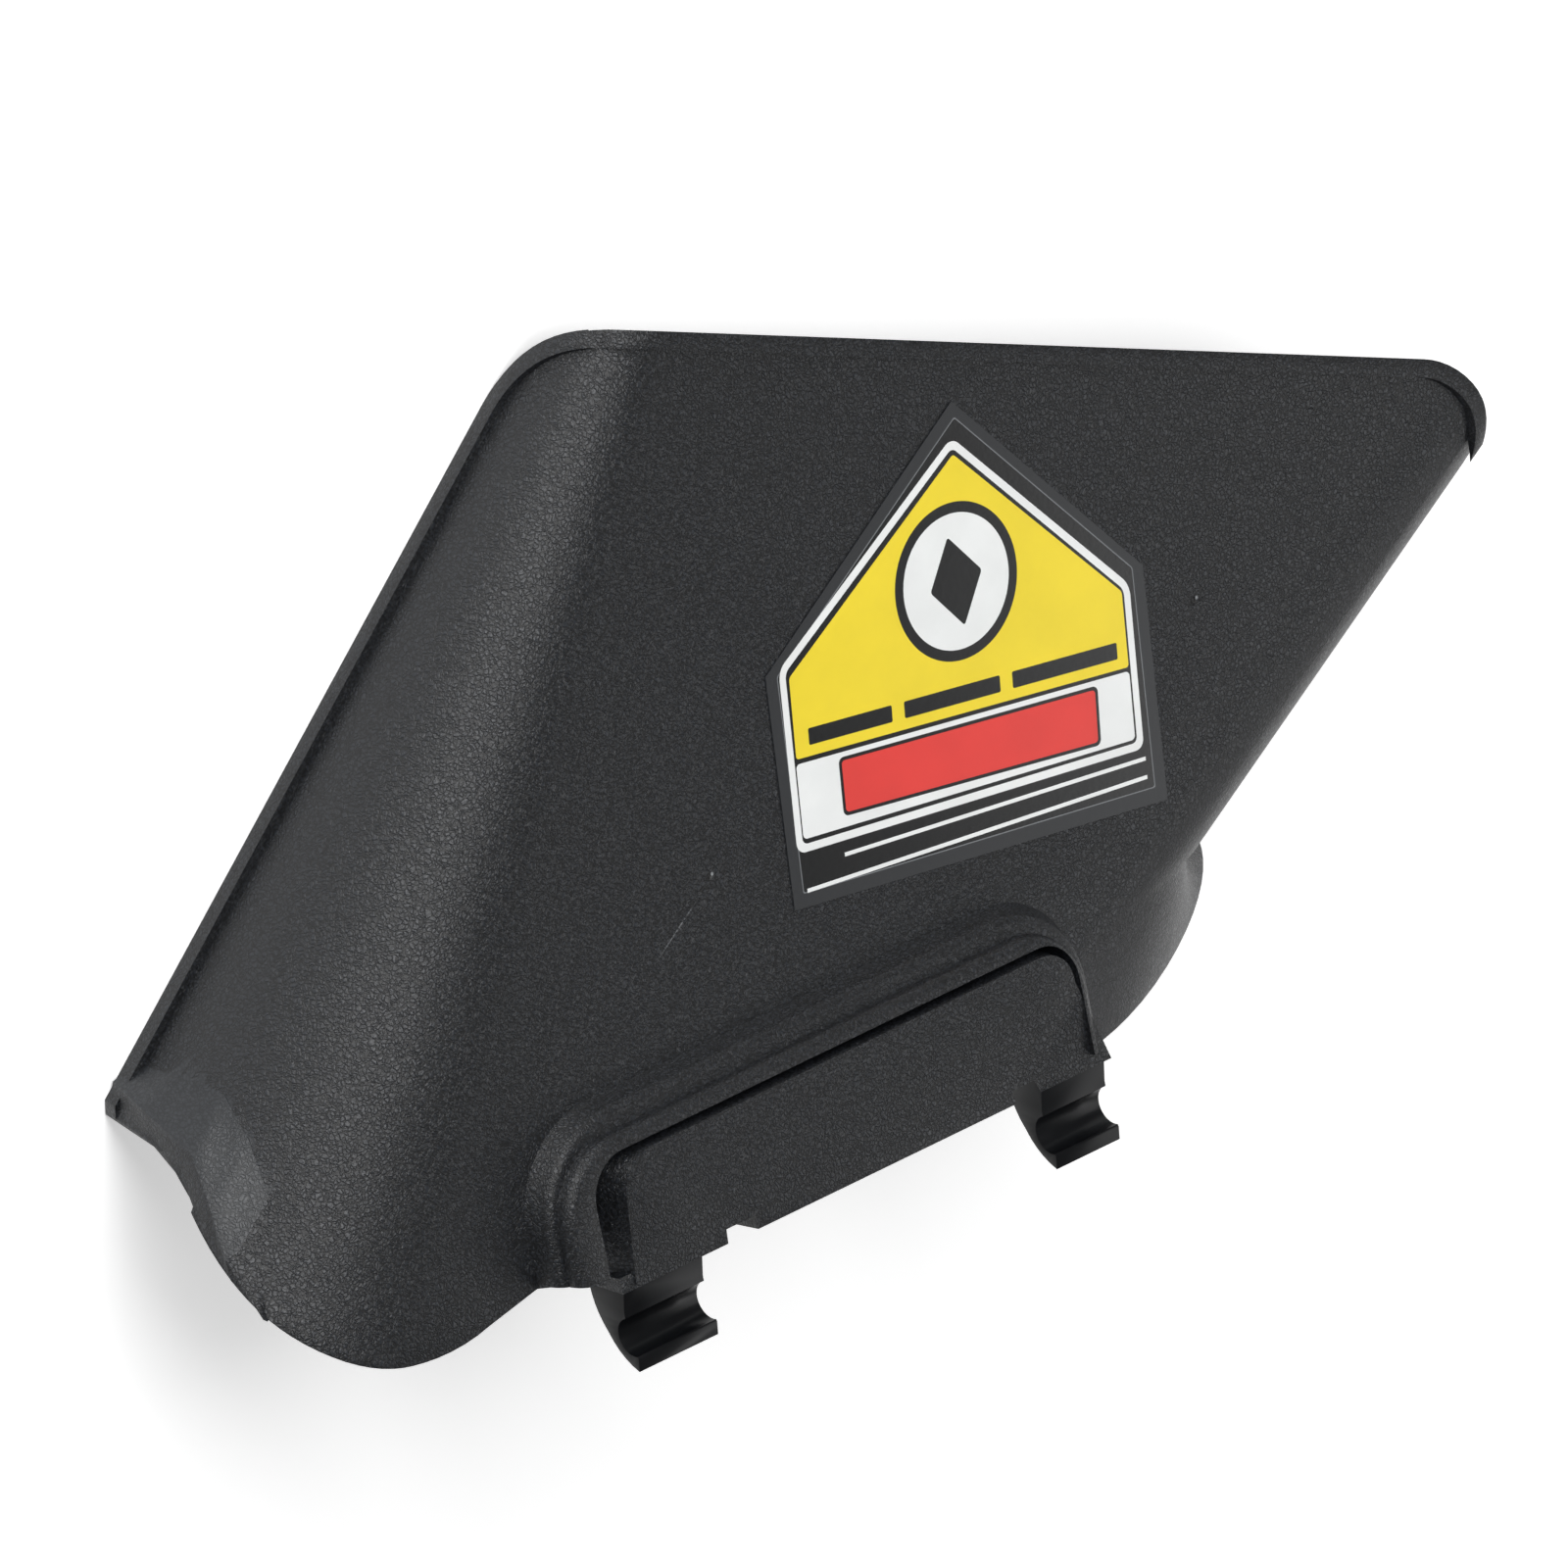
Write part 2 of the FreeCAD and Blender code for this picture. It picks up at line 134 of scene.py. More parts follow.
# The studio. The floor lies a hair below the part and glows a little where it is seen. The wall
# is white from the floor up to one height, as a share of the way to straight overhead, and has
# dimmed to the sky's strength at the next.
FLOOR_SIZE = 60.0
FLOOR_GAP = 0.2 * MM
FLOOR_GLOW = 0.45
WALL_WHITE_TO = 0.04
WALL_DIM_FROM = 0.2
STUDIO_CENTRE = Vector((0.0, 0.1, -0.03))
OUTLET_SIDE_PLACE = Vector((-0.54, 1.01, 0.96))
OUTLET_SIDE_SIZE = (0.65, 1.6)
HINGE_SIDE_PLACE = Vector((0.56, -0.24, 0.45))
HINGE_SIDE_SIZE = (0.6, 0.3)

# The camera looks along the photograph's line, from far off through a long lens: its right and
# up, how far to the right and up it stands, and how wide the picture is at the part.
VIEW_RIGHT = (0.7314, 0.0013, 0.6819)
VIEW_UP = (0.3505, 0.8571, -0.3776)
VIEW_MIDDLE = (-0.0216, 0.1062)
PICTURE_WIDTH = 0.38095
SENSOR_WIDTH = 36.0


def linear(hex_colour):
    """Linear RGBA from an sRGB hex value."""
    channels = [int(hex_colour[i : i + 2], 16) / 255 for i in (0, 2, 4)]
    return [c / 12.92 if c <= 0.04045 else ((c + 0.055) / 1.055) ** 2.4 for c in channels] + [1.0]


def shade(colour, factor):
    """A paler or darker shade of a linear colour."""
    return [min(c * factor, 1) for c in colour[:3]] + [1]


def node(tree, kind, settings=None, **inputs):
    """Adds a node. Settings name its properties and sockets, and stops are a colour ramp's places
    with their grey or colour. Inputs give a socket its source, or a plain value."""
    made = tree.nodes.new(kind)
    for key, value in (settings or {}).items():
        if key == "stops":
            elements = made.color_ramp.elements
            while len(elements) < len(value):
                elements.new(0.5)
            for element, (place, colour) in zip(elements, value):
                element.position = place
                element.color = colour if isinstance(colour, list) else (colour, colour, colour, 1)
        elif isinstance(key, int) or key in made.inputs:
            made.inputs[key].default_value = value
        else:
            setattr(made, key, value)
    for key, source in inputs.items():
        socket = made.inputs[int(key[1:])] if key[0] == "_" else made.inputs[key]
        if isinstance(source, bpy.types.NodeSocket):
            tree.links.new(source, socket)
        else:
            socket.default_value = source
    return made


def material(name):
    """An empty node material with its surface shader."""
    made = bpy.data.materials.new(name)
    made.use_nodes = True
    return made, made.node_tree, made.node_tree.nodes["Principled BSDF"]


def near(tree, place, spot, inner, outer):
    """1 within inner mm of a spot, fading to 0 at outer mm."""
    gap = node(
        tree, "ShaderNodeVectorMath", {"operation": "DISTANCE", 1: Vector(spot) * MM}, _0=place
    ).outputs["Value"]
    return node(
        tree, "ShaderNodeMapRange",
        {"interpolation_type": "SMOOTHSTEP", 1: inner * MM, 2: outer * MM, 3: 1.0, 4: 0.0}, _0=gap,
    ).outputs[0]


def grained_polypropylene(name, settings, base_colour, pebble_glint_colour, depth):
    """Black polypropylene, injection moulded against a photo-etched leather grain. That gives a dull
    satin black, broken into pebbles a millimetre wide whose tops catch the light and whose creases
    stay dark."""
    made, tree, shader = material(name)
    place = node(tree, "ShaderNodeTexCoord").outputs["Object"]
    on_panel = node(
        tree, "ShaderNodeMapping", {"Location": ROD_IN_PANEL, "Rotation": (PANEL_SLOPE, 0.0, 0.0)},
        Vector=place
    ).outputs[0]
    cell = settings.grain * MM

    # The etched pebbles: cells with sunk creases between them, bent by a slow wander.
    wander = node(
        tree, "ShaderNodeTexNoise", {"Scale": 0.6 / cell, "Detail": 2.0}, Vector=place
    ).outputs["Color"]
    bent = node(
        tree, "ShaderNodeMix", {"data_type": "RGBA", "blend_type": "LINEAR_LIGHT", 0: 0.9 * cell},
        _6=place, _7=wander,
    ).outputs[2]
    crease = node(
        tree, "ShaderNodeTexVoronoi", {"feature": "DISTANCE_TO_EDGE", "Scale": 1 / cell}, Vector=bent
    ).outputs["Distance"]
    pebble = node(
        tree, "ShaderNodeValToRGB", {"stops": [(0.02, 0.0), (0.16, 0.75), (0.4, 1.0)]}, _0=crease
    ).outputs["Color"]
    uneven = node(
        tree, "ShaderNodeTexNoise", {"Scale": 1.1 / cell, "Detail": 3.0, "Roughness": 0.65}, Vector=bent
    ).outputs["Fac"]
    relief = node(
        tree, "ShaderNodeMath", {"operation": "MULTIPLY"}, _0=pebble, _1=node(
        tree, "ShaderNodeValToRGB", {"stops": [(0.3, 0.25), (0.7, 1.0)]}, _0=uneven
    ).outputs["Color"]
    ).outputs[0]

    # The grain stops at the hinge box's long back edge, where two halves of the mould meet.
    across = node(tree, "ShaderNodeMapping", {"Scale": (0.0, 1.0, 1.0)}, Vector=on_panel).outputs[0]
    parting = near(tree, across, BOX_BACK_EDGE, 0.35, 0.8)
    grained = node(tree, "ShaderNodeMath", {"operation": "SUBTRACT"}, _0=1.0, _1=parting).outputs[0]

    # Two gate marks, each a pit with a torn fleck beside it, and one long faint scratch.
    first, second = (Vector(spot) for spot in GATE_MARKS)
    pit, other_pit = (near(tree, on_panel, spot, 0.5, 1.2) for spot in (first, second))
    pits = node(tree, "ShaderNodeMath", {"operation": "ADD"}, _0=pit, _1=other_pit).outputs[0]
    fleck, other_fleck = (
        near(tree, on_panel, spot + GATE_FLECK, 0.25, 0.6) for spot in (first, second)
    )
    flecks = node(tree, "ShaderNodeMath", {"operation": "ADD"}, _0=fleck, _1=other_fleck).outputs[0]
    along = Vector(SCRATCH[1]) - Vector(SCRATCH[0])
    scratch_place = node(
        tree, "ShaderNodeMapping",
        {
            "vector_type": "TEXTURE",
            "Location": (Vector(SCRATCH[0]) + along / 2) * MM,
            "Rotation": (0.0, 0.0, math.atan2(along.y, along.x)),
            "Scale": (along.length / 2 / SCRATCH_HALF_WIDTH, 1.0, 1.0),
        },
        Vector=on_panel,
    ).outputs[0]
    streak = near(
        tree, scratch_place, (0, 0, 0), SCRATCH_HALF_WIDTH / 3, SCRATCH_HALF_WIDTH
    )
    scratch = node(
        tree, "ShaderNodeMath", {"operation": "MULTIPLY"}, _0=streak, _1=node(
            tree, "ShaderNodeValToRGB", {"stops": [(0.4, 0.0), (0.55, 1.0)]}, _0=uneven
        ).outputs["Color"]
    ).outputs[0]
    torn = node(
        tree, "ShaderNodeMath", {"operation": "MAXIMUM"}, _0=flecks, _1=node(
        tree, "ShaderNodeMath", {"operation": "MULTIPLY"}, _0=scratch, _1=SCRATCH_PALENESS
    ).outputs[0]
    ).outputs[0]

    height = node(tree, "ShaderNodeMath", {"operation": "MULTIPLY"}, _0=relief, _1=grained).outputs[0]
    height = node(
        tree, "ShaderNodeMath", {"operation": "SUBTRACT"}, _0=height, _1=node(
        tree, "ShaderNodeMath", {"operation": "MULTIPLY"}, _0=pits, _1=PIT_DEPTH
    ).outputs[0]
    ).outputs[0]
    bump = node(
        tree, "ShaderNodeBump", {"Strength": 1.0, "Distance": depth * MM}, Height=height
    ).outputs[0]
    tree.links.new(bump, shader.inputs["Normal"])

    # Colour: faint broad patches where the melt cooled unevenly; pebble tops painted paler as a
    # painted glint, and pits painted near-black as painted shade.
    patches = node(tree, "ShaderNodeTexNoise", {"Scale": 14.0, "Detail": 3.0}, Vector=place).outputs["Fac"]
    base = linear(base_colour)
    colour = node(
        tree, "ShaderNodeValToRGB", {"stops": [(0.3, shade(base, 0.86)), (0.7, shade(base, 1.14))]},
        _0=patches
    ).outputs["Color"]
    # The pebble tops' paler colour is a painted glint, not a colour of the plastic.
    tops = node(
        tree, "ShaderNodeMath", {"operation": "MULTIPLY"}, _0=node(
        tree, "ShaderNodeValToRGB", {"stops": [(0.1, 0.0), (0.75, 1.0)]}, _0=height
    ).outputs["Color"], _1=settings.painted_glint_amount
    ).outputs[0]
    # Pebble tops take their painted glint, pits their painted shade, torn plastic its own pale colour.
    for amount, hex_colour in (
        (tops, pebble_glint_colour), (pits, settings.pit_shade_colour), (torn, settings.torn_colour)
    ):
        colour = node(
            tree, "ShaderNodeMix", {"data_type": "RGBA", 7: linear(hex_colour)}, _0=amount, _6=colour
        ).outputs[2]
    tree.links.new(colour, shader.inputs["Base Color"])

    # Roughness: creases dullest, pebble tops rubbed a little, the smooth parting line glossy.
    rough = settings.hood_roughness
    dull = node(
        tree, "ShaderNodeValToRGB", {"stops": [(0.0, rough + 0.12), (0.9, rough - 0.04)]}, _0=height
    ).outputs["Color"]
    tree.links.new(
        node(
            tree, "ShaderNodeMix", {"data_type": "FLOAT", 3: settings.smooth_roughness}, _0=parting, _2=dull
        ).outputs[0],
        shader.inputs["Roughness"],
    )
    shader.inputs["IOR"].default_value = POLYPROPYLENE_IOR
    shader.inputs["Specular IOR Level"].default_value = settings.specular
    return made


def smooth_polypropylene(settings):
    """The same black polypropylene moulded against polished steel, on the hooks: no grain, darker,
    with a narrower gloss and only a faint waviness from the melt."""
    made, tree, shader = material("smooth_black_polypropylene")
    place = node(tree, "ShaderNodeTexCoord").outputs["Object"]
    melt = node(tree, "ShaderNodeTexNoise", {"Scale": 90.0, "Detail": 3.0}, Vector=place).outputs["Fac"]
    base = linear(settings.smooth_colour)
    tint = node(
        tree, "ShaderNodeValToRGB", {"stops": [(0.3, shade(base, 0.8)), (0.7, shade(base, 1.25))]}, _0=melt
    ).outputs["Color"]
    tree.links.new(tint, shader.inputs["Base Color"])
    rough = settings.smooth_roughness
    tree.links.new(node(
        tree, "ShaderNodeValToRGB", {"stops": [(0.3, rough - 0.03), (0.7, rough + 0.05)]}, _0=melt
    ).outputs["Color"], shader.inputs["Roughness"])
    tree.links.new(
        node(tree, "ShaderNodeBump", {"Strength": 0.6, "Distance": 0.05 * MM}, Height=melt).outputs[0],
        shader.inputs["Normal"],
    )
    shader.inputs["IOR"].default_value = POLYPROPYLENE_IOR
    shader.inputs["Specular IOR Level"].default_value = settings.smooth_specular
    return made


def printed_vinyl(name, hex_colour, roughness=COLOUR_ROUGHNESS):
    """Screen-printed ink under a clear vinyl film, pressed on the grained panel: an even, bright
    colour with a soft gloss, in which the pebbles below show as a faint orange peel."""
    made, tree, shader = material(name)
    place = node(tree, "ShaderNodeTexCoord").outputs["Object"]
    colour = linear(hex_colour)
    ink = node(tree, "ShaderNodeTexNoise", {"Scale": 60.0, "Detail": 4.0}, Vector=place).outputs["Fac"]
    tint = node(
        tree, "ShaderNodeValToRGB", {"stops": [(0.35, shade(colour, 0.965)), (0.65, shade(colour, 1.03))]},
        _0=ink
    ).outputs["Color"]
    tree.links.new(tint, shader.inputs["Base Color"])
    peel = node(tree, "ShaderNodeTexNoise", {"Scale": 700.0, "Detail": 2.0}, Vector=place).outputs["Fac"]
    tree.links.new(
        node(tree, "ShaderNodeBump", {"Strength": 0.5, "Distance": 0.03 * MM}, Height=peel).outputs[0],
        shader.inputs["Normal"],
    )
    shader.inputs["Roughness"].default_value = roughness
    shader.inputs["IOR"].default_value = VINYL_IOR
    return made


def seen_ray(tree):
    """1 for the rays by which the backdrop is seen: straight on, mirrored or through glass."""
    rays = node(tree, "ShaderNodeLightPath").outputs
    seen = node(
        tree, "ShaderNodeMath", {"operation": "MAXIMUM"}, _0=rays["Is Camera Ray"], _1=rays["Is Glossy Ray"]
    ).outputs[0]
    return node(
        tree, "ShaderNodeMath", {"operation": "MAXIMUM"}, _0=seen, _1=rays["Is Transmission Ray"]
    ).outputs[0]


def deselect():
    if bpy.context.object and bpy.context.object.mode != "OBJECT":
        bpy.ops.object.mode_set(mode="OBJECT")
    bpy.ops.object.select_all(action="DESELECT")


def copy_of_node(node_name, piece_name):
    """A merged copy of a CAD node's mesh, as a piece of its own, left selected and active."""
    deselect()
    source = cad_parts[node_name]
    piece = bpy.data.objects.new(piece_name, source.data.copy())
    bpy.context.scene.collection.objects.link(piece)
    piece.select_set(True)
    bpy.context.view_layer.objects.active = piece
    bpy.ops.object.mode_set(mode="EDIT")
    bpy.ops.mesh.select_all(action="SELECT")
    bpy.ops.mesh.remove_doubles(threshold=MERGE_WITHIN)
    bpy.ops.mesh.customdata_custom_splitnormals_clear()
    bpy.ops.object.mode_set(mode="OBJECT")
    return piece


def soften(piece, width, angle, segments=2):
    """Rounds the edges sharper than angle and shades the rest smooth."""
    bevel = piece.modifiers.new("edges", "BEVEL")
    bevel.limit_method = "ANGLE"
    bevel.angle_limit = angle
    bevel.width = width
    bevel.segments = segments
    bevel.use_clamp_overlap = True
    bpy.ops.object.modifier_apply(modifier=bevel.name)
    bpy.ops.object.shade_smooth_by_angle(angle=SHARP_FROM)


def finish(piece, finish_material, replaced=None):
    piece.data.materials.clear()
    for one in finish_material if isinstance(finish_material, list) else [finish_material]:
        piece.data.materials.append(one)
    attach(piece, "root")
    if replaced:
        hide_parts(replaced)
    deselect()
    return piece


def on_lip(point):
    """Whether a point in the panel's frame lies on the turned-out lip's face."""
    root, crest = ([Vector(one) * MM for one in line] for line in (LIP_ROOT, LIP_CREST))
    for index in range(len(root) - 1):
        near_root, far_root = root[index : index + 2]
        near_crest, far_crest = crest[index : index + 2]
        for triangle in ((near_root, far_root, far_crest), (near_root, far_crest, near_crest)):
            if (closest_point_on_tri(point, *triangle) - point).length < LIP_REACH:
                return True
    return False


def drawn_in(corners, amount):
    """The outline through corners, anticlockwise, with each side moved inwards by amount."""
    ring = [Vector(corner) for corner in corners]
    moved = []
    for index, corner in enumerate(ring):
        sides = (corner - ring[index - 1], ring[(index + 1) % len(ring)] - corner)
        one, other = (Vector((-side.y, side.x)).normalized() for side in sides)
        moved.append(tuple(corner + (one + other) * amount / (1 + one.dot(other))))
    return moved


def raised(piece, low, high):
    """Gives a flat face in edit mode its thickness and puts it from the panel's frame into the
    object's frame."""
    bpy.ops.mesh.select_all(action="SELECT")
    bpy.ops.mesh.extrude_region_move(TRANSFORM_OT_translate={"value": (0, 0, high - low)})
    bpy.ops.mesh.select_all(action="SELECT")
    bpy.ops.mesh.normals_make_consistent(inside=False)
    bpy.ops.object.mode_set(mode="OBJECT")
    piece.matrix_world = PANEL_TO_FRAME
    bpy.ops.object.transform_apply(location=True, rotation=True, scale=True)
    return piece


def plate(name, corners, rounding, low, high):
    """A thin plate over the given corners of the panel, in mm, with rounded corners."""
    deselect()
    bpy.ops.mesh.primitive_circle_add(vertices=len(corners), radius=0.01, fill_type="NGON")
    piece = bpy.context.object
    piece.name = name
    bpy.ops.object.mode_set(mode="EDIT")
    bpy.ops.mesh.select_mode(type="VERT")
    for index, corner in enumerate(corners):
        bpy.ops.mesh.select_all(action="DESELECT")
        drawn = bmesh.from_edit_mesh(piece.data)
        drawn.verts.ensure_lookup_table()
        point = drawn.verts[index]
        point.select_set(True)
        move = Vector((corner[0] * MM, corner[1] * MM, low)) - point.co
        drawn.select_flush_mode()
        bmesh.update_edit_mesh(piece.data)
        bpy.ops.transform.translate(value=move)
    bpy.ops.mesh.select_all(action="SELECT")
    if rounding:
        bpy.ops.mesh.bevel(offset=rounding * MM, segments=6, affect="VERTICES")
    return raised(piece, low, high)


def disc(name, middle, radius, low, high):
    """A thin round plate on the panel, in mm."""
    deselect()
    bpy.ops.mesh.primitive_circle_add(
        vertices=96, radius=radius * MM, fill_type="NGON", location=(middle[0] * MM, middle[1] * MM, low)
    )
    piece = bpy.context.object
    piece.name = name
    bpy.ops.object.transform_apply(location=True, rotation=True, scale=True)
    bpy.ops.object.mode_set(mode="EDIT")
    return raised(piece, low, high)


class DeflectorHoodSettings(bpy.types.PropertyGroup):
    hood_colour: StringProperty(name="Plastic", description="sRGB hex of the plastic", default="090a0c")
    # The pebble tops' paler colour is a painted glint.
    pebble_glint_colour: StringProperty(
        name="Pebbles", description="sRGB hex of the pebble tops", default="26292e"
    )
    # The lip's paler colours are a painted reflection of the white floor; its pebble tops also carry a
    # painted glint.
    lip_painted_reflection_colour: StringProperty(
        name="Lip", description="sRGB hex of the turned-out lip", default="1a1c1f"
    )
    lip_pebble_glint_colour: StringProperty(
        name="Lip pebbles", description="sRGB hex of the lip's pebble tops", default="2e3135"
    )
    smooth_colour: StringProperty(
        name="Smooth plastic", description="sRGB hex of the hooks", default="0e0f11"
    )
    # The pits' near-black is painted shade in the hollows.
    pit_shade_colour: StringProperty(
        name="Pits", description="sRGB hex of the gate marks' pits", default="060607"
    )
    torn_colour: StringProperty(
        name="Torn plastic", description="sRGB hex of torn plastic", default="8a8d90"
    )
    hood_roughness: FloatProperty(
        name="Roughness", description="Roughness of the grained faces", default=0.35, min=0.1, max=0.9
    )
    smooth_roughness: FloatProperty(
        name="Smooth roughness",
        description="Roughness where there is no grain", default=0.3, min=0.1, max=0.9
    )
    specular: FloatProperty(
        name="Specular", description="Specular level of the grained faces", default=0.5, min=0.0, max=1.0
    )
    smooth_specular: FloatProperty(
        name="Smooth specular",
        description="Specular level of the smooth faces", default=0.2, min=0.0, max=1.0
    )
    painted_glint_amount: FloatProperty(
        name="Speckle", description="How much the pebble tops pale", default=1.0, min=0.0, max=1.0
    )
    grain: FloatProperty(
        name="Grain", description="Width of a pebble of the grain, in mm", default=1.15, min=0.3, max=3.0
    )
    relief: FloatProperty(
        name="Relief", description="Depth of the grain, in mm", default=0.14, min=0.0, max=0.6
    )
    edge: FloatProperty(
        name="Edge radius", description="Rounding of the moulded edges", default=0.0005, unit="LENGTH"
    )


class DeflectorLabelSettings(bpy.types.PropertyGroup):
    film_colour: StringProperty(
        name="Film", description="sRGB hex of the clear border", default="232528"
    )
    line_colour: StringProperty(
        name="Fine line", description="sRGB hex of the fine edge line", default="74777a"
    )
    ink_colour: StringProperty(
        name="Black ink", description="sRGB hex of the black ink", default="0e0f10"
    )
    pale_colour: StringProperty(
        name="White ink", description="sRGB hex of the white ink", default="f3f5f4"
    )
    upper_colour: StringProperty(
        name="Upper field", description="sRGB hex of the upper field", default="f8de28"
    )
    bar_colour: StringProperty(
        name="Wide bar", description="sRGB hex of the wide bar", default="e83a33"
    )
    corner: FloatProperty(
        name="Corner", description="Rounding of the printed corners, in mm", default=2.6
    )


class DeflectorStageSettings(bpy.types.PropertyGroup):
    backdrop: FloatVectorProperty(
        name="Backdrop",
        description="Colour of the floor and backdrop", subtype="COLOR", size=3, default=(1, 1, 1)
    )
    sky: FloatProperty(
        name="Sky", description="Strength of the even light all round", default=0.16, min=0.0
    )
    outlet_side: FloatProperty(
        name="Outlet side light",
        description="Power of the light beyond the outlet", default=22.0, unit="POWER"
    )
    hinge_side: FloatProperty(
        name="Hinge side light",
        description="Power of the light beyond the hinge", default=1.1, unit="POWER"
    )
    distance: FloatProperty(
        name="Camera distance", description="Camera to object", default=15.0, unit="LENGTH"
    )


class DEFLECTOR_OT_hood(bpy.types.Operator):
    """Dress the moulded hood: softened edges and the grained plastic"""

    bl_idname = "deflector.hood"
    bl_label = "Hood"

    def execute(self, context):
        settings = context.scene.deflector_hood
        hood = copy_of_node("deflector_hood", "moulded_hood")
        soften(hood, settings.edge, ROUNDED_FROM)
        grained = grained_polypropylene(
            "grained_black_polypropylene", settings, settings.hood_colour,
            settings.pebble_glint_colour, settings.relief
        )
        # The lip's grain is shallower, and its paler colour is a painted reflection of the white floor.
        fine = grained_polypropylene(
            "fine_grained_polypropylene_painted_reflection", settings, settings.lip_painted_reflection_colour, settings.lip_pebble_glint_colour,
            settings.relief * LIP_GRAIN,
        )
        finishes = [grained, smooth_polypropylene(settings), fine]
        finish(hood, finishes, "deflector_hood")
        to_panel = PANEL_TO_FRAME.inverted()
        for face in hood.data.polygons:
            middle = to_panel @ face.center
            if middle.y < HOOKS_REACH:
                face.material_index = 1
            elif on_lip(middle):
                face.material_index = 2
        return {"FINISHED"}


class DEFLECTOR_OT_label(bpy.types.Operator):
    """Make the label: its film and the plain printed fields, disc and bars on it"""

    bl_idname = "deflector.label"
    bl_label = "Label"

    def execute(self, context):
        settings = context.scene.deflector_label
        corner = settings.corner
        film = printed_vinyl("clear_vinyl_border", settings.film_colour, FILM_ROUGHNESS)
        line = printed_vinyl("grey_printed_vinyl", settings.line_colour, FILM_ROUGHNESS)
        black = printed_vinyl("black_printed_vinyl", settings.ink_colour, BLACK_ROUGHNESS)
        pale = printed_vinyl("white_printed_vinyl", settings.pale_colour)
        yellow = printed_vinyl("yellow_printed_vinyl", settings.upper_colour)
        red = printed_vinyl("red_printed_vinyl", settings.bar_colour)

        finish(copy_of_node("face_label", "label_film"), film, "face_label")

        # Each ink is a plate that starts inside the film and ends a little above the ink below it.
        def ink(name, layer, colour, corners, rounding=0.0):
            top = SHEET_TOP + layer * INK_STEP
            finish(plate(name, corners, rounding, INK_START, top), colour)

        def round_ink(name, layer, colour, middle, radius):
            top = SHEET_TOP + layer * INK_STEP
            finish(disc(name, middle, radius, INK_START, top), colour)

        ink("label_fine_line", 1, line, LABEL_OUTLINE, 0.6)
        ink("label_ground", 2, black, drawn_in(LABEL_OUTLINE, FINE_LINE_WIDTH), 0.6)
        ink("label_frame", 3, pale, FRAME_LINE, corner)
        ink("label_frame_inside", 4, black, drawn_in(FRAME_LINE, FRAME_WIDTH), corner * 0.6)
        ink("label_upper_field", 5, yellow, UPPER_FIELD, 0.8)
        ink("label_lower_field", 5, pale, LOWER_FIELD, 1.2)

        round_ink("label_ring", 6, black, RING_MIDDLE, RING_RADIUS)
        round_ink("label_disc", 7, pale, RING_MIDDLE, DISC_RADIUS)
        diamond = [Vector(RING_MIDDLE) + Vector(arm) for arm in DIAMOND_ARMS]
        ink("label_diamond", 8, black, diamond, 0.8)

        # Bars along the foot of the upper field, in the slope of the label's base.
        start, end = (Vector(point) for point in ROW)
        run = (end - start).normalized()
        rise = Vector((-run.y, run.x)) * ROW_HALF_HEIGHT
        for number, (low, high) in enumerate(ROW_BARS):
            one, other = start.lerp(end, low), start.lerp(end, high)
            bar = [tuple(p) for p in (one - rise, other - rise, other + rise, one + rise)]
            ink(f"label_row_bar_{number + 1}", 6, black, bar, 0.5)

        ink("label_wide_bar_edge", 6, black, WIDE_BAR, 1.6)
        ink("label_wide_bar", 7, red, drawn_in(WIDE_BAR, WIDE_BAR_EDGE), 1.0)

        for number, (left, right) in enumerate(FOOT_LINES):
            one, other = Vector(left), Vector(right)
            run = (other - one).normalized()
            rise = Vector((-run.y, run.x)) * FOOT_HALF_HEIGHT
            foot = [tuple(p) for p in (one - rise, other - rise, other + rise, one + rise)]
            ink(f"label_foot_line_{number + 1}", 3, pale, foot)
        return {"FINISHED"}


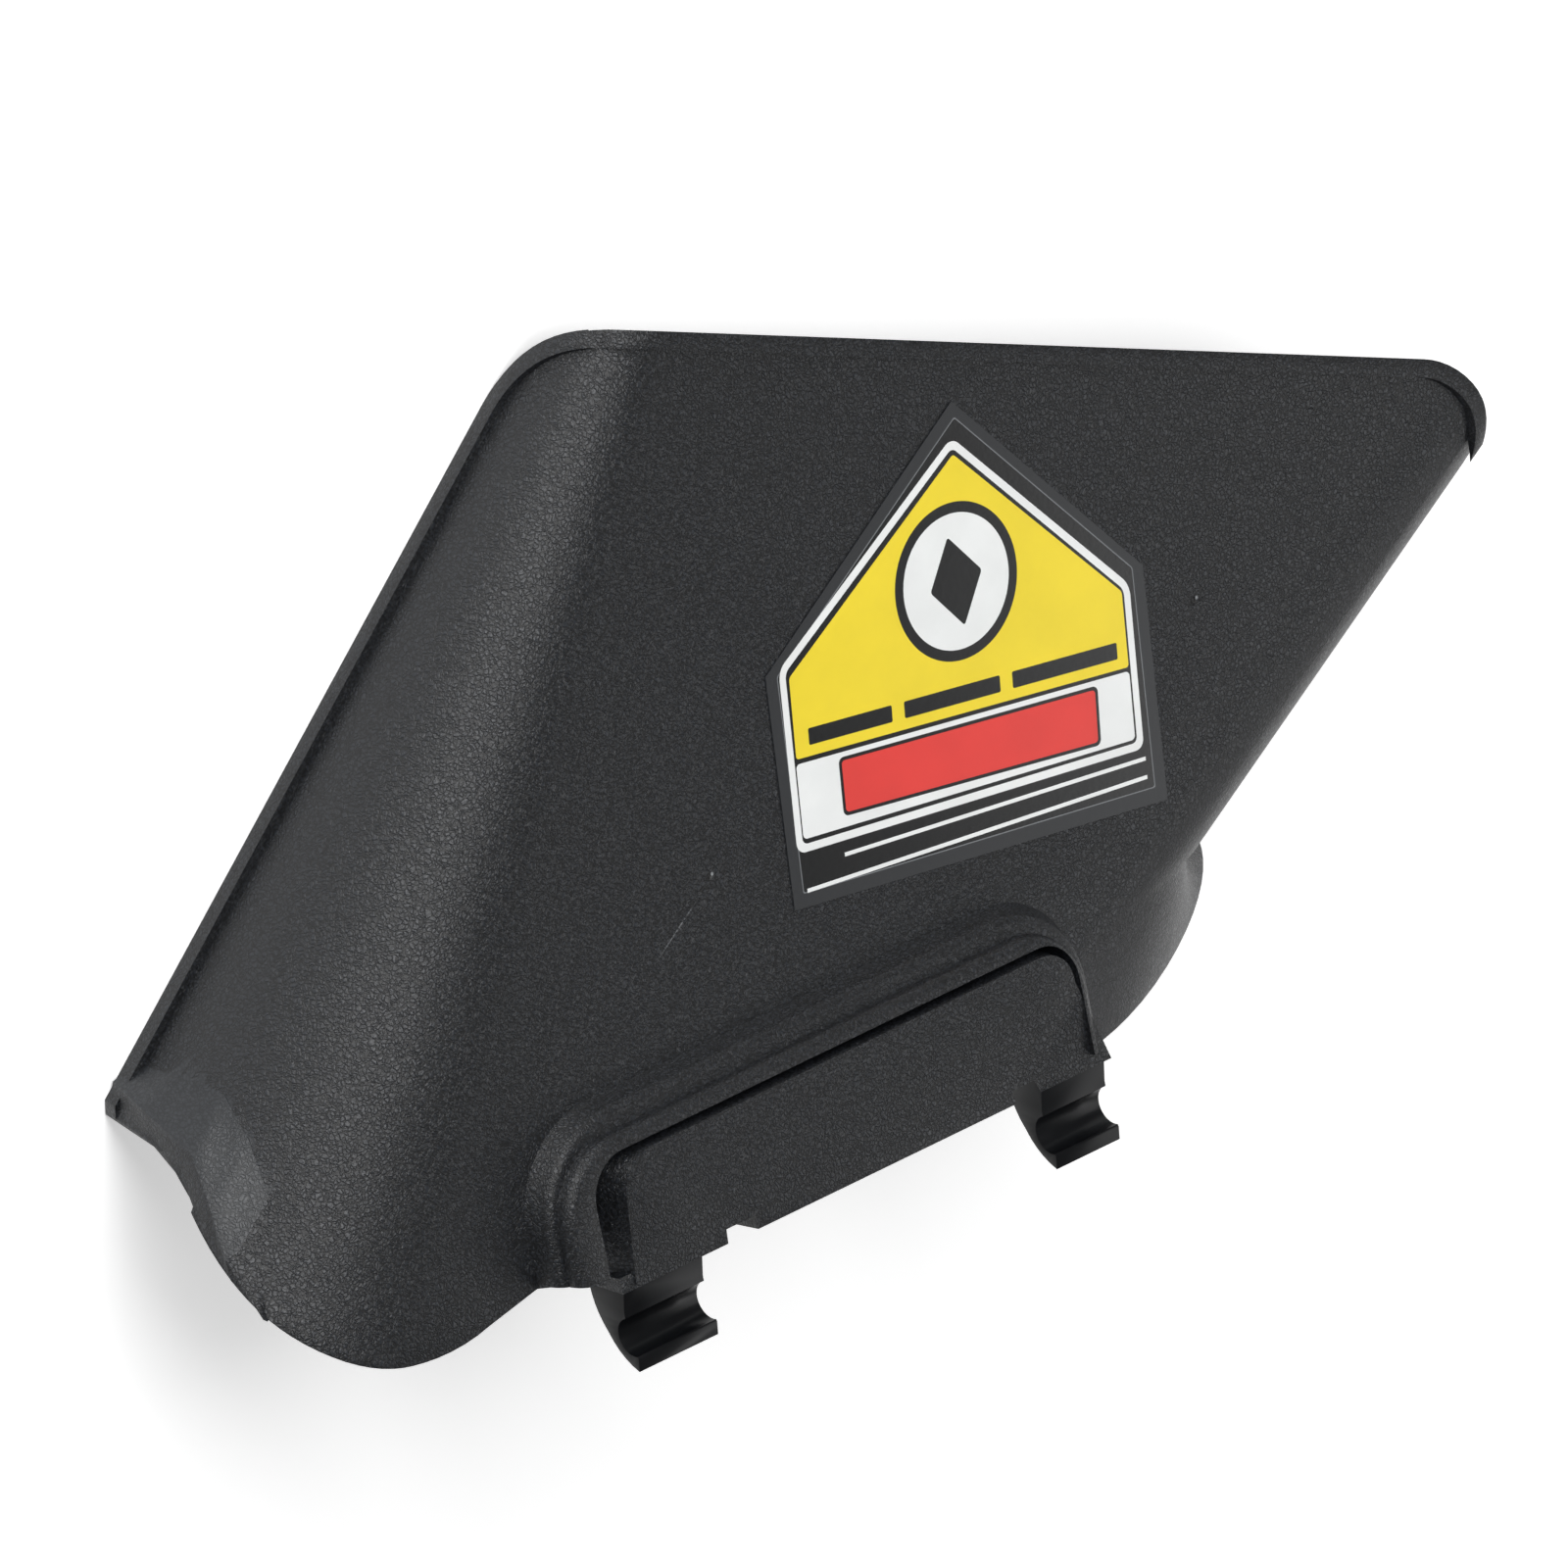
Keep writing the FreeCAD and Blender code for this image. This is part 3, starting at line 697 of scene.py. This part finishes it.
class DEFLECTOR_OT_stage(bpy.types.Operator):
    """Set the floor, the soft lights and the camera"""

    bl_idname = "deflector.stage"
    bl_label = "Stage"

    def execute(self, context):
        settings = context.scene.deflector_stage
        floor_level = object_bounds()[0][2]
        deselect()
        bpy.ops.mesh.primitive_plane_add(size=FLOOR_SIZE, location=(0, 0, floor_level - FLOOR_GAP))
        floor = context.object
        floor.name = "floor"
        bpy.ops.object.transform_apply(location=True, rotation=True, scale=True)
        made, tree, shader = material("white_sweep_paper")
        seen = seen_ray(tree)
        shader.inputs["Base Color"].default_value = (*settings.backdrop, 1)
        shader.inputs["Roughness"].default_value = 0.9
        tree.links.new(
            node(tree, "ShaderNodeMath", {"operation": "MULTIPLY", 1: FLOOR_GLOW}, _0=seen).outputs[0],
            shader.inputs["Emission Strength"],
        )
        shader.inputs["Emission Color"].default_value = (1, 1, 1, 1)
        floor.data.materials.append(made)
        floor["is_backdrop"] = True

        world = context.scene.world or bpy.data.worlds.new("studio")
        context.scene.world = world
        world.use_nodes = True
        tree = world.node_tree
        sky = tree.nodes["Background"]
        sky.inputs["Color"].default_value = (1, 1, 1, 1)
        # A studio wall: white where it meets the floor, dimmer towards the ceiling.
        side = node(tree, "ShaderNodeTexCoord").outputs["Generated"]
        rise = node(tree, "ShaderNodeSeparateXYZ", Vector=side).outputs["Z"]
        strength = node(
            tree, "ShaderNodeMapRange",
            {
                "interpolation_type": "SMOOTHSTEP",
                1: WALL_WHITE_TO, 2: WALL_DIM_FROM, 3: 1.0, 4: settings.sky,
            },
            _0=rise,
        ).outputs[0]
        tree.links.new(strength, sky.inputs["Strength"])

        lights = (
            ("outlet_side_light", OUTLET_SIDE_PLACE, OUTLET_SIDE_SIZE, settings.outlet_side),
            ("hinge_side_light", HINGE_SIDE_PLACE, HINGE_SIDE_SIZE, settings.hinge_side),
        )
        for name, place, size, power in lights:
            deselect()
            bpy.ops.object.light_add(type="AREA", location=STUDIO_CENTRE + place)
            lamp = context.object
            lamp.name = name
            lamp.data.shape = "RECTANGLE"
            lamp.data.size, lamp.data.size_y = size
            lamp.data.energy = power
            lamp.rotation_euler = place.to_track_quat("Z", "Y").to_euler()

        # The camera looks along the photograph's line, from far off through a long lens.
        right = Vector(VIEW_RIGHT).normalized()
        up = Vector(VIEW_UP).normalized()
        back = right.cross(up).normalized()
        up = back.cross(right)
        middle = right * VIEW_MIDDLE[0] + up * VIEW_MIDDLE[1]
        turn = Matrix((right, up, back)).transposed().to_4x4()
        deselect()
        bpy.ops.object.camera_add()
        camera = context.object
        camera.name = "photo_camera"
        camera.data.sensor_width = SENSOR_WIDTH
        camera.data.lens = SENSOR_WIDTH * settings.distance / PICTURE_WIDTH
        camera.data.clip_end = 100.0
        camera.matrix_world = Matrix.Translation(middle + back * settings.distance) @ turn
        context.scene.camera = camera
        context.scene.view_settings.view_transform = "Standard"
        return {"FINISHED"}


class DEFLECTOR_PT_panel(bpy.types.Panel):
    bl_label = "Mower discharge deflector"
    bl_idname = "DEFLECTOR_PT_panel"
    bl_space_type = "VIEW_3D"
    bl_region_type = "UI"
    bl_category = "Deflector"

    def draw(self, context):
        scene = context.scene
        for group, operator in (
            (scene.deflector_hood, "deflector.hood"),
            (scene.deflector_label, "deflector.label"),
            (scene.deflector_stage, "deflector.stage"),
        ):
            box = self.layout.box()
            for name in group.__annotations__:
                box.prop(group, name)
            box.operator(operator)


GROUPS = {
    "deflector_hood": DeflectorHoodSettings,
    "deflector_label": DeflectorLabelSettings,
    "deflector_stage": DeflectorStageSettings,
}
CLASSES = (
    DeflectorHoodSettings,
    DeflectorLabelSettings,
    DeflectorStageSettings,
    DEFLECTOR_OT_hood,
    DEFLECTOR_OT_label,
    DEFLECTOR_OT_stage,
    DEFLECTOR_PT_panel,
)


def register():
    for one in CLASSES:
        bpy.utils.register_class(one)
    for name, group in GROUPS.items():
        setattr(bpy.types.Scene, name, PointerProperty(type=group))


def unregister():
    for name in GROUPS:
        delattr(bpy.types.Scene, name)
    for one in reversed(CLASSES):
        bpy.utils.unregister_class(one)


def main():
    register()
    bpy.ops.deflector.hood()
    bpy.ops.deflector.label()
    bpy.ops.deflector.stage()


if __name__ == "__main__":
    main()
